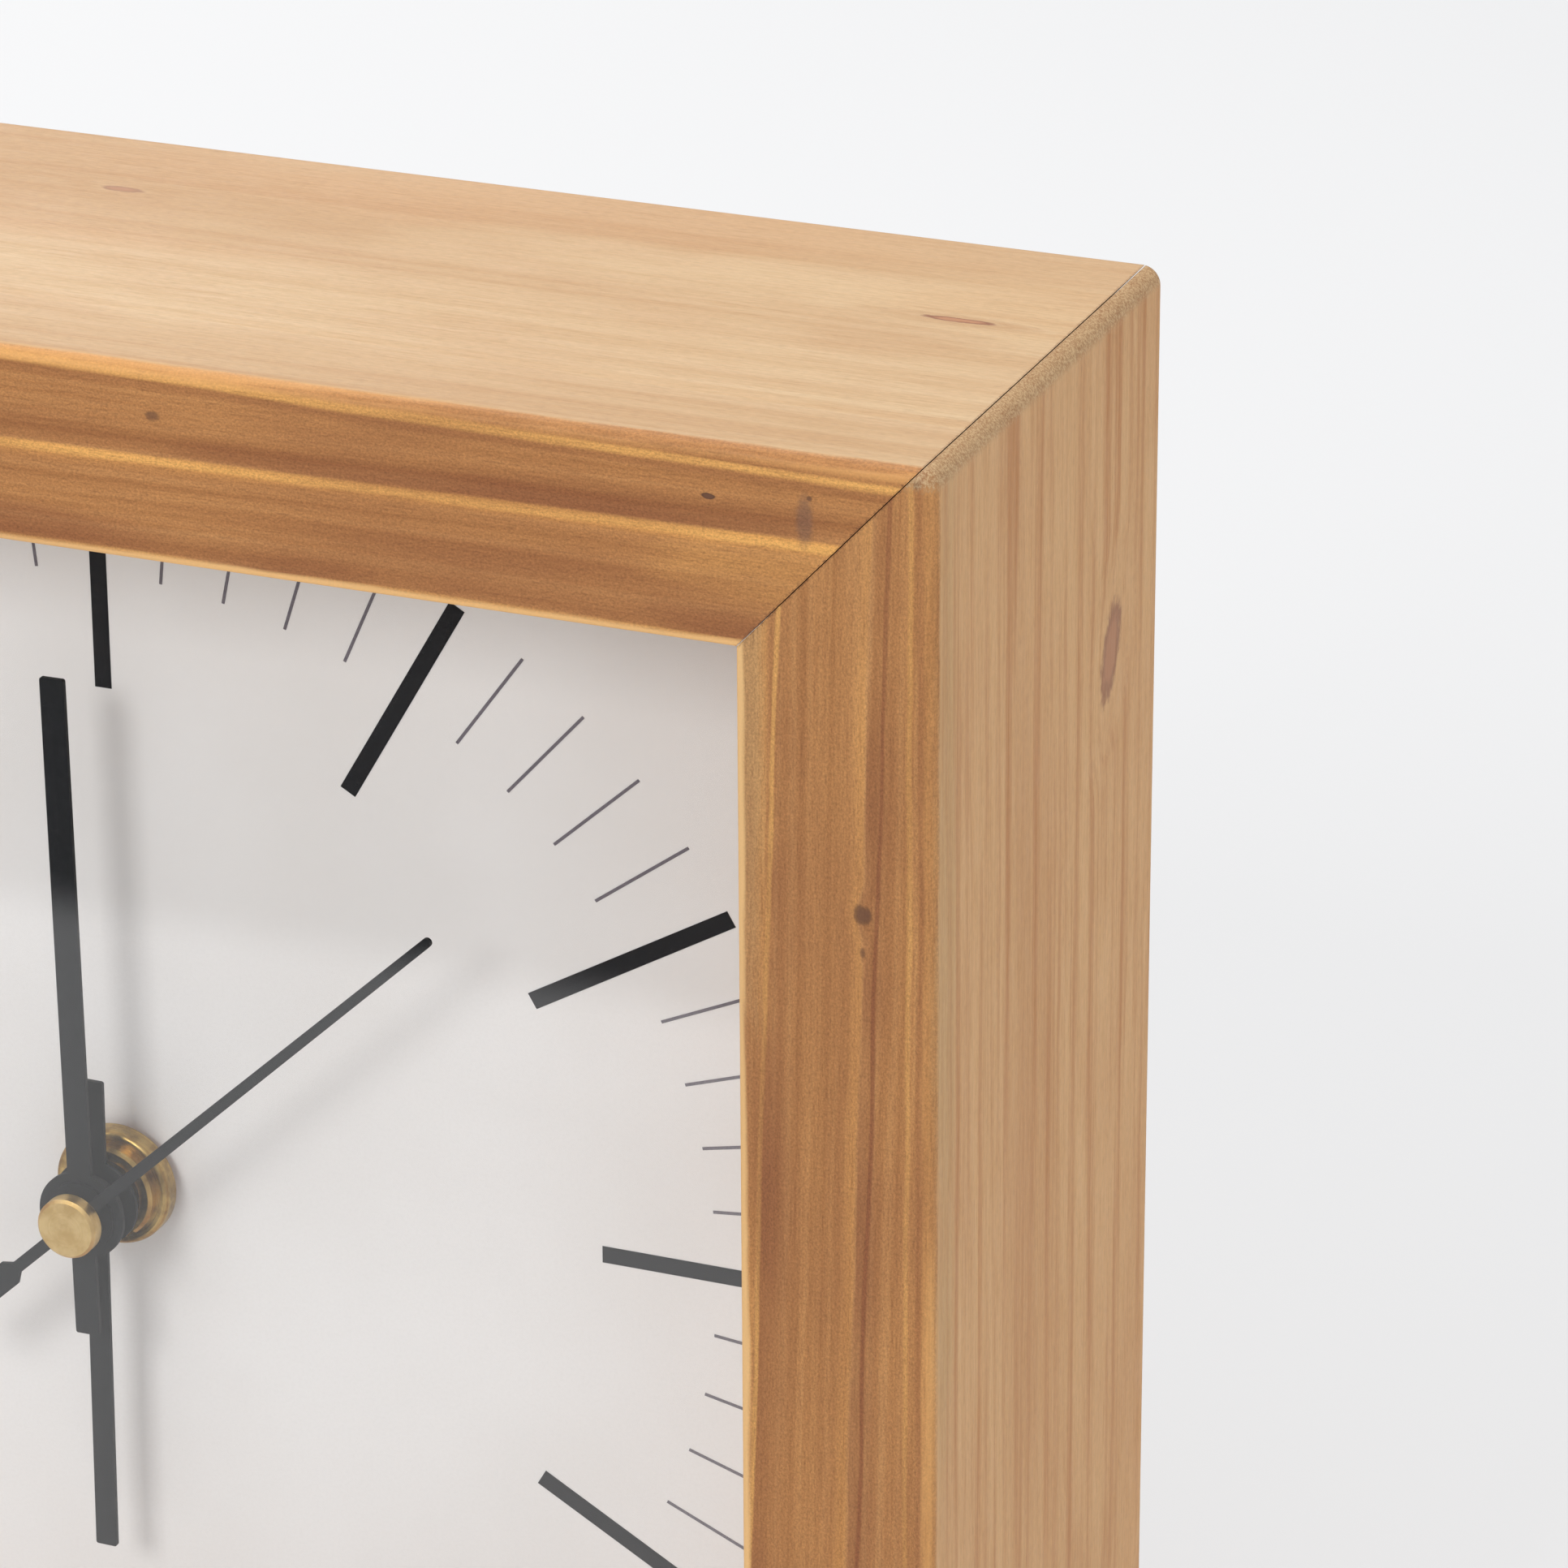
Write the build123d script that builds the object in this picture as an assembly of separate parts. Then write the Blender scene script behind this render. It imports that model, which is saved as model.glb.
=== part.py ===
from build123d import *
import os
from math import cos, sin, radians, pi

os.makedirs("parts", exist_ok=True)

# Square shadow-box wall clock, built of four mitred boards.
# Axes: X to the right, Y from the front to the back, Z up.
# Origin: middle of the case's footprint, on the surface it stands on.

# ---- case ----
CASE = 200.0            # outer width and height
DEPTH = 63.0            # front face to back face
RAIL = 20.0             # width of a board, seen from the front
ARRIS = 1.3             # rounding of the long outer edges
CORNER = 2.0            # rounding of the four corners
INNER_ARRIS = 0.5       # rounding of the front inner edges
MITRE_GAP = 0.12        # glue line at each corner
MITRE_LEAN = 1.6        # how far a joint's outer end stops short of the corner
FRONT = -DEPTH / 2
BACK = DEPTH / 2
MID_Z = CASE / 2        # height of the case's middle
AXIS_DROP = 0.8         # the hands' axis sits this far below the middle
OPENING = CASE - 2 * RAIL

GLASS_SETBACK = 4.0     # front face to the glass
GLASS = 2.0
GROOVE_DEPTH = 3.0      # how far the glass runs into the boards
GROOVE_PLAY = 0.1

DIAL_Y = FRONT + 26.7   # front face of the dial
REBATE = 4.0            # step in the boards that the dial board rests on
PAPER = 0.25
BOARD = 3.0
BOARD_SIZE = OPENING + 2 * REBATE - 0.4
BOARD_BACK = DIAL_Y + PAPER + BOARD

# ---- dial marks ----
MARK_OUTER = 79.3
HOUR_MARK_INNER = 54.2
MINUTE_MARK_INNER = 66.8
HOUR_MARK_WIDTH = 1.85
MINUTE_MARK_WIDTH = 0.33
INK = 0.05

# ---- hands, all heights measured forward from the dial ----
HOUR_HEIGHT = 6.9
MINUTE_HEIGHT = 10.1
SECOND_HEIGHT = 12.0
CAP_HEIGHT = 13.7
HAND = 0.5              # thickness of the sheet

# ---- movement ----
CASE_MOVT = 56.0        # width and height of the movement's case
WASHER = 0.8
MOVT_FRONT = BOARD_BACK + WASHER
MOVT_DEPTH = 16.0
MOVT_BACK = MOVT_FRONT + MOVT_DEPTH
SHELL = 1.2
FLOOR = MOVT_FRONT + 1.5
BAY_WALL_Z = -11.5      # underside of the wall above the battery, from the axis

BUSH_R = 4.0
BUSH_BORE = 2.60
HOUR_PIPE_R = 2.55
HOUR_PIPE_BORE = 1.80
MINUTE_PIPE_R = 1.75
MINUTE_PIPE_BORE = 0.80
ARBOR_R = 0.75
PIVOT_R = 0.45
PIVOT_HOLE = 0.50
POST_R = 0.60

# Gear planes, measured back from the inside of the movement's front wall.
Y_HOUR = FLOOR + 1.1
Y_MOTION = FLOOR + 2.6
Y_CENTRE = FLOOR + 4.1
Y_THIRD = FLOOR + 6.2
Y_PLATE = FLOOR + 7.5
Y_SECONDS = FLOOR + 8.6
Y_INTER = FLOOR + 10.2
Y_ROTOR = FLOOR + 8.25
WHEEL = 0.8
PLATE = 0.6
COVER_Y = MOVT_BACK - SHELL

MOTION_MODULE = 0.4
CENTRE_MODULE = 0.25
THIRD_MODULE = 0.25 * 34 / 36
SECONDS_MODULE = 0.25
INTER_MODULE = 0.2

CANNON, REVERSE, REVERSE_PINION, HOUR, KNOB = 10, 30, 8, 32, 10
CENTRE, THIRD_PINION, THIRD, SECONDS_PINION = 60, 8, 64, 8
SECONDS, INTER_PINION, INTER, ROTOR = 48, 8, 40, 8

REVERSE_X = -MOTION_MODULE * (CANNON + REVERSE) / 2
KNOB_X = REVERSE_X - MOTION_MODULE * (REVERSE + KNOB) / 2
THIRD_X = CENTRE_MODULE * (CENTRE + THIRD_PINION) / 2
INTER_Z = SECONDS_MODULE * (SECONDS + INTER_PINION) / 2
ROTOR_Z = INTER_Z + INTER_MODULE * (INTER + ROTOR) / 2

HOUR_ANGLE = 180.8      # where each hand rests, clockwise from the top
MINUTE_ANGLE = -0.5
SECOND_ANGLE = 46.9


# ---- helpers: x across, z up from the middle, y front to back ----
def block(x0, x1, y0, y1, z0, z1):
    size = (x1 - x0, y1 - y0, z1 - z0)
    centre = ((x0 + x1) / 2, (y0 + y1) / 2, MID_Z + (z0 + z1) / 2)
    return Pos(*centre) * Box(*size)


def square(half, y0, y1):
    return block(-half, half, y0, y1, -half, half)


def disc(r, y0, y1, x=0.0, z=0.0):
    return Pos(x, (y0 + y1) / 2, MID_Z + z) * Rot(90, 0, 0) * Cylinder(r, y1 - y0)


def rod_x(r, x0, x1, y, z):
    return Pos((x0 + x1) / 2, y, MID_Z + z) * Rot(0, 90, 0) * Cylinder(r, x1 - x0)


def outline(points, y0, y1):
    plane = Plane(origin=(0, y1, MID_Z), x_dir=(1, 0, 0), z_dir=(0, -1, 0))
    face = make_face(Polyline(*points, close=True))
    return extrude(plane * face, y1 - y0)


def spin(shape, clockwise):
    return Pos(0, 0, MID_Z) * Rot(0, clockwise, 0) * Pos(0, 0, -MID_Z) * shape


def gear(teeth, module, y0, y1, x=0.0, z=0.0, tooth_at=0.0):
    """Spur gear; one tooth points at the angle tooth_at, counted from +X towards +Z."""
    pitch = teeth * module / 2
    tip = pitch + 0.70 * module
    root = pitch - 0.95 * module
    step = 2 * pi / teeth
    points = []
    for k in range(teeth):
        mid = radians(tooth_at) + k * step
        for r, share in ((root, -0.20), (tip, -0.09), (tip, 0.09), (root, 0.20)):
            a = mid + share * step
            points.append((x + r * cos(a), z + r * sin(a)))
    return outline(points, y0, y1)


def in_mesh(direction, driver_teeth, driver_tooth, teeth):
    """Tooth angle that puts a gear in mesh with its driver, which lies opposite direction."""
    driver_step = 360 / driver_teeth
    lead = (driver_tooth - direction) % driver_step
    return direction + 180 + 180 / teeth - lead * driver_teeth / teeth


def save(name, shape):
    solids = shape.solids() if hasattr(shape, "solids") else ShapeList(shape)
    body = solids[0] if len(solids) == 1 else Compound(children=list(solids))
    export_step(body, f"parts/{name}.step")


def save_on_axis(name, shape):
    """Save a piece that is modelled about the middle and belongs on the hands' axis."""
    save(name, Pos(0, 0, -AXIS_DROP) * shape)


def many(shapes):
    return Compound(children=[s for shape in shapes for s in shape.solids()])


# ---- wooden case ----
shell = square(CASE / 2, FRONT, BACK)
shell = fillet(shell.edges().filter_by(Axis.Y), CORNER)
shell = fillet(shell.faces().filter_by(Axis.Y).edges(), ARRIS)
shell -= square(OPENING / 2, FRONT - 1, BACK + 1)
front_inner = [e for e in shell.edges()
               if abs(e.center().Y - FRONT) < 0.01
               and max(abs(e.center().X), abs(e.center().Z - MID_Z)) < OPENING / 2 + 0.1]
shell = fillet(front_inner, INNER_ARRIS)
shell -= square(OPENING / 2 + REBATE, DIAL_Y, BACK + 1)
glass_y = FRONT + GLASS_SETBACK
shell -= square(OPENING / 2 + GROOVE_DEPTH, glass_y - GROOVE_PLAY, glass_y + GLASS + GROOVE_PLAY)


# Each joint runs from an inner corner of the case to a point on the top or bottom face.
inner_corner = OPENING / 2
lean = (CASE / 2 - MITRE_LEAN - inner_corner) / (CASE / 2 - inner_corner)


def joint_x(z, clear):
    return inner_corner + (z - inner_corner) * lean + clear


def rail_space(turn):
    """Wedge of space that holds the top board, or turned by 180 degrees the bottom one."""
    near = joint_x(0, -MITRE_GAP / 2)
    far = joint_x(CASE, -MITRE_GAP / 2)
    return spin(outline([(-near, 0), (near, 0), (far, CASE), (-far, CASE)], FRONT - 5, BACK + 5), turn)


def stile_space(turn):
    """Wedge of space that holds the right board, or turned by 180 degrees the left one."""
    near = joint_x(0, MITRE_GAP / 2)
    far = joint_x(CASE, MITRE_GAP / 2)
    wedge = outline([(near, 0), (far, CASE), (2 * CASE, CASE), (2 * CASE, -CASE), (far, -CASE)],
                    FRONT - 5, BACK + 5)
    return spin(wedge, turn)


# V-shaped nails pressed into the back of each mitre.
NAIL_LEG = 4.5
NAIL_SHEET = 0.5
NAIL_LENGTH = 9.0
mid_wall = (OPENING / 2 + REBATE + CASE / 2) / 2


def v_nail(turn):
    legs = []
    for side in (-1, 1):
        leg = Box(NAIL_LEG, NAIL_LENGTH, NAIL_SHEET)
        legs.append(Rot(0, side * 35, 0) * Pos(side * NAIL_LEG / 2, 0, 0) * leg)
    vee = legs[0] + legs[1]
    centre = Pos(mid_wall, BACK - NAIL_LENGTH / 2 - 0.2, MID_Z + mid_wall)
    return spin(centre * Rot(0, 45, 0) * vee, turn)


v_nails = [v_nail(90 * k) for k in range(4)]
for nail in v_nails:
    shell -= nail

# Battens hold the dial board against the step; two pins go through each.
BATTEN = 6.0
BATTEN_OUTER = OPENING / 2 + REBATE - 0.1
BATTEN_INNER = BATTEN_OUTER - BATTEN
batten_y0 = BOARD_BACK + 0.05
batten_y1 = batten_y0 + BATTEN
PIN_R = 0.5
PIN_LENGTH = 14.0


def batten(turn, long):
    end = BATTEN_OUTER if long else BATTEN_INNER - 0.1
    bar = block(-end, end, batten_y0, batten_y1, BATTEN_INNER, BATTEN_OUTER)
    return spin(bar, turn)


def pin(turn, x):
    y = (batten_y0 + batten_y1) / 2
    length = Pos(x, y, MID_Z + BATTEN_INNER + PIN_LENGTH / 2)
    head = Pos(x, y, MID_Z + BATTEN_INNER - 0.2)
    nail = length * Cylinder(PIN_R, PIN_LENGTH) + head * Cylinder(2 * PIN_R, 0.4)
    return spin(nail, turn)


pins = [pin(90 * k, side * 50) for k in range(4) for side in (-1, 1)]
battens = {"batten_top": batten(0, True), "batten_right": batten(90, False),
           "batten_bottom": batten(180, True), "batten_left": batten(270, False)}
for nail in pins:
    shell -= nail

# Keyhole hanger let into the back of the top board.
HANGER_W = 34.0
HANGER_H = 13.0
HANGER_T = 1.2
HANGER_Z = 92.0         # above the hands' axis
ENTRY_R = 3.5
SLOT_R = 1.8
ENTRY_DROP = 1.6        # entry hole below the plate's middle
SLOT_RISE = 2.8
SCREW_X = 12.5
SCREW_R = 1.3
SCREW_HEAD_R = 2.6
SCREW_LENGTH = 12.0

hanger = block(-HANGER_W / 2, HANGER_W / 2, BACK - HANGER_T, BACK,
               HANGER_Z - HANGER_H / 2, HANGER_Z + HANGER_H / 2)
hanger = fillet(hanger.edges().filter_by(Axis.Y), 2.0)
pocket = hanger
entry_z = HANGER_Z - ENTRY_DROP
slot_z = HANGER_Z + SLOT_RISE
keyhole = (disc(ENTRY_R, BACK - 3, BACK + 1, 0, entry_z)
           + disc(SLOT_R, BACK - 3, BACK + 1, 0, slot_z)
           + block(-SLOT_R, SLOT_R, BACK - 3, BACK + 1, entry_z, slot_z))
nail_room = block(-5, 5, BACK - 9, BACK - HANGER_T, entry_z - 3.8, slot_z + 1.7)


def countersunk(x):
    """Wood screw with a flush countersunk head."""
    shank = disc(SCREW_R, BACK - SCREW_LENGTH, BACK - 0.6, x, HANGER_Z)
    cone = Pos(x, BACK - 0.65, MID_Z + HANGER_Z) * Rot(90, 0, 0) * Cone(SCREW_HEAD_R, SCREW_R, 1.3)
    return shank + cone


hanger_screws = [countersunk(x) for x in (-SCREW_X, SCREW_X)]
hanger -= keyhole
shell -= pocket
shell -= nail_room
for screw in hanger_screws:
    hanger -= screw
    shell -= screw

drives = []
for screw, x in zip(hanger_screws, (-SCREW_X, SCREW_X)):
    cross = block(x - 1.5, x + 1.5, BACK - 0.7, BACK + 1, HANGER_Z - 0.3, HANGER_Z + 0.3)
    cross += block(x - 0.3, x + 0.3, BACK - 0.7, BACK + 1, HANGER_Z - 1.5, HANGER_Z + 1.5)
    drives.append(screw - cross)

save("frame_rail_top", shell & rail_space(0))
save("frame_stile_right", shell & stile_space(0))
save("frame_rail_bottom", shell & rail_space(180))
save("frame_stile_left", shell & stile_space(180))
save("mitre_v_nails", many(v_nails))
for name, bar in battens.items():
    for nail in pins:
        bar -= nail
    save(name, bar)
save("batten_pins", many(pins))
save("keyhole_hanger", hanger)
save("hanger_screws", many(drives))

# ---- glass, dial and marks ----
save("glass_pane", square(OPENING / 2 + GROOVE_DEPTH - 0.3, glass_y, glass_y + GLASS))
shaft_hole = Pos(0, 0, -AXIS_DROP) * disc(BUSH_R + 0.25, DIAL_Y - 1, BOARD_BACK + 1)
save("dial_paper", square(BOARD_SIZE / 2, DIAL_Y, DIAL_Y + PAPER) - shaft_hole)
save("dial_board", square(BOARD_SIZE / 2, DIAL_Y + PAPER, BOARD_BACK) - shaft_hole)


def mark(inner, width, clockwise):
    stroke = block(-width / 2, width / 2, DIAL_Y - INK, DIAL_Y, inner, MARK_OUTER)
    return spin(stroke, clockwise)


save("hour_marks", many(mark(HOUR_MARK_INNER, HOUR_MARK_WIDTH, 30 * k) for k in range(12)))
save("minute_marks", many(mark(MINUTE_MARK_INNER, MINUTE_MARK_WIDTH, 6 * k)
                          for k in range(60) if k % 5))

# ---- movement case ----
half = CASE_MOVT / 2
inside = half - SHELL
movt_case = block(-half, half, MOVT_FRONT, COVER_Y, -half, half)
movt_case = fillet(movt_case.edges().filter_by(Axis.Y), 3.0)
movt_case += block(-half, half, COVER_Y, MOVT_BACK, -half, BAY_WALL_Z) & fillet(
    block(-half, half, COVER_Y, MOVT_BACK, -half, half).edges().filter_by(Axis.Y), 3.0)
movt_case -= block(-inside, inside, FLOOR, MOVT_BACK + 1, BAY_WALL_Z + SHELL, inside)
movt_case -= block(-inside, inside, FLOOR, MOVT_BACK + 1, -inside, BAY_WALL_Z)
movt_case -= disc(BUSH_R, MOVT_FRONT - 1, FLOOR + 1)

# Posts carry the middle plate; a stud carries the reverse wheel.
POSTS = ((-23.0, -7.0), (23.0, -7.0), (-23.0, 10.0), (23.0, 10.0))
for x, z in POSTS:
    movt_case += disc(1.6, FLOOR, Y_PLATE, x, z)
movt_case += disc(POST_R, FLOOR, Y_MOTION + 1.2, REVERSE_X, 0)
third_boss = disc(1.4, FLOOR, FLOOR + 0.8, THIRD_X, 0)
movt_case += third_boss
movt_case -= disc(PIVOT_HOLE, FLOOR - 0.7, FLOOR + 1, THIRD_X, 0)
knob_boss = disc(1.8, FLOOR, FLOOR + 0.8, KNOB_X, 0)
movt_case += knob_boss
movt_case -= disc(PIVOT_HOLE, FLOOR - 0.7, FLOOR + 1, KNOB_X, 0)
save_on_axis("movement_case", movt_case)

cover = block(-half, half, COVER_Y, MOVT_BACK, BAY_WALL_Z + 0.1, half)
cover = fillet([e for e in cover.edges().filter_by(Axis.Y) if e.center().Z > MID_Z], 3.0)
cover -= disc(1.05, COVER_Y - 1, MOVT_BACK + 1, KNOB_X, 0)
cover -= disc(ARBOR_R + 0.05, COVER_Y - 1, COVER_Y + 0.6)
cover -= disc(PIVOT_HOLE, COVER_Y - 1, COVER_Y + 0.6, 0, INTER_Z)
cover -= disc(PIVOT_HOLE, COVER_Y - 1, COVER_Y + 0.6, 0, ROTOR_Z)
save_on_axis("movement_cover", cover)

middle = block(-25.5, 25.5, Y_PLATE, Y_PLATE + PLATE, -9.5, 14.5)
middle = fillet(middle.edges().filter_by(Axis.Y), 1.5)
middle -= disc(ARBOR_R + 0.05, Y_PLATE - 1, Y_PLATE + 2)
middle -= disc(PIVOT_HOLE, Y_PLATE - 1, Y_PLATE + 2, THIRD_X, 0)
middle -= disc(PIVOT_HOLE, Y_PLATE - 1, Y_PLATE + 2, 0, INTER_Z)
middle -= disc(PIVOT_HOLE, Y_PLATE - 1, Y_PLATE + 2, 0, ROTOR_Z)
middle -= disc(1.05, Y_PLATE - 1, Y_PLATE + 2, KNOB_X, 0)
save_on_axis("middle_plate", middle)

# ---- threaded bush, washers and nut ----
# Heights forward from the dial.
FIBRE_WASHER = 1.2
FLANGE = 3.2
NUT = 4.5
NUT_FLANGE_R = 6.5
NUT_R = 5.2
bush_front = DIAL_Y - 4.7
bush = disc(BUSH_R, bush_front, FLOOR) + disc(5.4, FLOOR, FLOOR + 0.6)
for k in range(7):
    y = bush_front + 0.5 + 0.75 * k
    bush -= disc(BUSH_R + 1, y, y + 0.35) - disc(BUSH_R - 0.25, y, y + 0.35)
bush -= disc(BUSH_BORE, bush_front - 1, FLOOR + 2)
save_on_axis("threaded_bush", bush)

rubber = disc(9.0, BOARD_BACK, MOVT_FRONT) - disc(BUSH_R + 0.05, BOARD_BACK - 1, MOVT_FRONT + 1)
save_on_axis("rubber_washer", rubber)
fibre = disc(5.6, DIAL_Y - FIBRE_WASHER, DIAL_Y) - disc(BUSH_R + 0.02, DIAL_Y - 2, DIAL_Y + 1)
save_on_axis("fibre_washer", fibre)
flange = disc(NUT_FLANGE_R, DIAL_Y - FLANGE, DIAL_Y - FIBRE_WASHER)
flange = fillet(flange.edges().sort_by(Axis.Y)[0], 0.6)
flange -= disc(BUSH_R + 0.02, DIAL_Y - 4, DIAL_Y + 1)
save_on_axis("brass_washer", flange)
nut = disc(NUT_R, DIAL_Y - NUT, DIAL_Y - FLANGE)
nut = chamfer(nut.edges().sort_by(Axis.Y)[0], 0.35)
nut -= disc(BUSH_R + 0.02, DIAL_Y - 6, DIAL_Y)
for k in range(2):
    slot = block(NUT_R - 0.9, NUT_R + 1, DIAL_Y - 6, DIAL_Y - NUT + 0.7, -0.6, 0.6)
    nut -= spin(slot, 60 + 180 * k)
save_on_axis("mounting_nut", nut)

# ---- battery and contacts ----
BATTERY_R = 7.1
BATTERY_Y = FLOOR + BATTERY_R + 0.1
BATTERY_Z = -half + SHELL + BATTERY_R + 0.15
cell = rod_x(BATTERY_R, -24.4, 24.0, BATTERY_Y, BATTERY_Z)
cell = fillet(cell.edges(), 0.8)
cell += rod_x(2.7, 23.9, 25.6, BATTERY_Y, BATTERY_Z)
save_on_axis("battery", cell)
tab = block(25.9, 26.4, BATTERY_Y - 4, BATTERY_Y + 4, BATTERY_Z - 5, BATTERY_Z + 5)
save_on_axis("contact_positive", tab)
leaf = block(-26.6, -26.1, BATTERY_Y - 4, BATTERY_Y + 4, BATTERY_Z - 5, BATTERY_Z + 5)
leaf += Pos(-25.6, BATTERY_Y, MID_Z + BATTERY_Z) * Rot(0, 14, 0) * Box(0.4, 5, 6.5)
save_on_axis("contact_negative", leaf)

# ---- stepper motor and circuit ----
COIL_Z = 21.2
COIL_HALF = 9.0
MAGNET = 1.7
CORE_Y = Y_ROTOR + MAGNET / 2
magnet = disc(2.9, Y_ROTOR, Y_ROTOR + MAGNET, 0, ROTOR_Z)
magnet -= disc(0.5, Y_ROTOR - 1, Y_ROTOR + 3, 0, ROTOR_Z)
save_on_axis("rotor_magnet", magnet)

stator = disc(5.2, CORE_Y - 0.5, CORE_Y + 0.5, 0, ROTOR_Z)
for side in (-1, 1):
    reach = COIL_HALF + 2.4
    arm = block(min(side * 3, side * reach), max(side * 3, side * reach),
                CORE_Y - 0.5, CORE_Y + 0.5, ROTOR_Z - 2.5, ROTOR_Z + 2.5)
    riser = block(min(side * COIL_HALF, side * reach) + (0.3 if side > 0 else 0),
                  max(side * COIL_HALF, side * reach) - (0.3 if side < 0 else 0),
                  CORE_Y - 0.5, CORE_Y + 0.5, ROTOR_Z, COIL_Z + 1.4)
    stator += arm + riser
stator += block(-COIL_HALF - 1, COIL_HALF + 1, CORE_Y - 0.5, CORE_Y + 0.5, COIL_Z - 1.4, COIL_Z + 1.4)
stator -= disc(3.4, CORE_Y - 2, CORE_Y + 2, 0, ROTOR_Z)
stator -= block(-0.25, 0.25, CORE_Y - 2, CORE_Y + 2, ROTOR_Z, ROTOR_Z + 6)
stator -= disc(1.8, CORE_Y - 2, CORE_Y + 2, 0, INTER_Z)
stator -= disc(6.6, CORE_Y - 2, CORE_Y + 2)
save_on_axis("stator", stator)

core_room = block(-COIL_HALF - 2, COIL_HALF + 2, CORE_Y - 0.55, CORE_Y + 0.55, COIL_Z - 1.45, COIL_Z + 1.45)
spool = rod_x(1.9, -COIL_HALF, COIL_HALF, CORE_Y, COIL_Z)
for side in (-1, 1):
    x = side * (COIL_HALF - 0.4)
    spool += block(x - 0.4, x + 0.4, CORE_Y - 4.0, CORE_Y + 4.0, COIL_Z - 4.2, COIL_Z + 4.2)
save_on_axis("coil_bobbin", spool - core_room)
wire = rod_x(3.9, -COIL_HALF + 0.9, COIL_HALF - 0.9, CORE_Y, COIL_Z)
save_on_axis("coil_winding", wire - rod_x(1.95, -COIL_HALF, COIL_HALF, CORE_Y, COIL_Z) - core_room)

PCB_Y = Y_PLATE + 2.5
save_on_axis("circuit_board", block(13.5, 26.0, PCB_Y, PCB_Y + 0.8, 15.2, 26.0))
save_on_axis("clock_chip", block(15.0, 19.0, PCB_Y + 0.8, PCB_Y + 1.8, 19.0, 23.0))
crystal = Pos(23.2, PCB_Y + 1.85, MID_Z + 20.0) * Cylinder(1.0, 6.0)
save_on_axis("quartz_crystal", crystal)

# ---- gear train ----
seconds_tooth = 90.0
inter_pinion_tooth = in_mesh(90.0, SECONDS, seconds_tooth, INTER_PINION)
inter_tooth = inter_pinion_tooth
rotor_tooth = in_mesh(90.0, INTER, inter_tooth, ROTOR)
third_tooth = in_mesh(0.0, SECONDS_PINION, 0.0, THIRD)
third_pinion_tooth = third_tooth
centre_tooth = in_mesh(180.0, THIRD_PINION, third_pinion_tooth, CENTRE)
reverse_tooth = in_mesh(180.0, CANNON, 0.0, REVERSE)
hour_tooth = in_mesh(0.0, REVERSE_PINION, reverse_tooth, HOUR)
knob_tooth = in_mesh(180.0, REVERSE, reverse_tooth, KNOB)

arbor_front = DIAL_Y - SECOND_HEIGHT
arbor = disc(ARBOR_R, arbor_front, COVER_Y + 0.5)
arbor += gear(SECONDS, SECONDS_MODULE, Y_SECONDS, Y_SECONDS + WHEEL, tooth_at=seconds_tooth)
arbor += gear(SECONDS_PINION, THIRD_MODULE, Y_THIRD - 0.3, Y_THIRD + WHEEL + 0.2)
save_on_axis("seconds_arbor", arbor)

inter = gear(INTER, INTER_MODULE, Y_INTER, Y_INTER + WHEEL, 0, INTER_Z, inter_tooth)
inter += gear(INTER_PINION, SECONDS_MODULE, Y_SECONDS - 0.2, Y_INTER, 0, INTER_Z, inter_pinion_tooth)
inter += disc(PIVOT_R, Y_PLATE + 0.05, COVER_Y + 0.5, 0, INTER_Z)
save_on_axis("intermediate_wheel", inter)

rotor = gear(ROTOR, INTER_MODULE, Y_ROTOR + MAGNET, Y_INTER + WHEEL + 0.2, 0, ROTOR_Z, rotor_tooth)
rotor += disc(0.5, Y_ROTOR, Y_ROTOR + MAGNET, 0, ROTOR_Z)
rotor += disc(PIVOT_R, Y_PLATE + 0.05, COVER_Y + 0.5, 0, ROTOR_Z)
save_on_axis("rotor_pinion", rotor)

third = gear(THIRD, THIRD_MODULE, Y_THIRD, Y_THIRD + WHEEL, THIRD_X, 0, third_tooth)
third += gear(THIRD_PINION, CENTRE_MODULE, Y_CENTRE - 0.3, Y_THIRD, THIRD_X, 0, third_pinion_tooth)
third += disc(PIVOT_R, FLOOR - 0.6, Y_PLATE + PLATE - 0.05, THIRD_X, 0)
save_on_axis("third_wheel", third)

centre = gear(CENTRE, CENTRE_MODULE, Y_CENTRE, Y_CENTRE + WHEEL, tooth_at=centre_tooth)
centre += disc(2.8, Y_CENTRE - 0.25, Y_CENTRE + WHEEL + 0.6)
centre -= disc(MINUTE_PIPE_R + 0.05, Y_CENTRE - 1, Y_CENTRE + WHEEL + 2)
save_on_axis("centre_wheel", centre)

reverse = gear(REVERSE, MOTION_MODULE, Y_MOTION, Y_MOTION + WHEEL, REVERSE_X, 0, reverse_tooth)
reverse += gear(REVERSE_PINION, MOTION_MODULE, Y_HOUR - 0.3, Y_MOTION, REVERSE_X, 0, reverse_tooth)
reverse -= disc(POST_R + 0.05, FLOOR, Y_CENTRE, REVERSE_X, 0)
save_on_axis("reverse_wheel", reverse)

# ---- pipes and hands ----
hour_front = DIAL_Y - HOUR_HEIGHT
minute_front = DIAL_Y - MINUTE_HEIGHT
second_front = DIAL_Y - SECOND_HEIGHT

hour_pipe = disc(HOUR_PIPE_R, hour_front, Y_HOUR + WHEEL)
hour_pipe += gear(HOUR, MOTION_MODULE, Y_HOUR, Y_HOUR + WHEEL, tooth_at=hour_tooth)
hour_pipe -= disc(HOUR_PIPE_BORE, hour_front - 1, Y_HOUR + 3)
save_on_axis("hour_pipe", hour_pipe)

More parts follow.
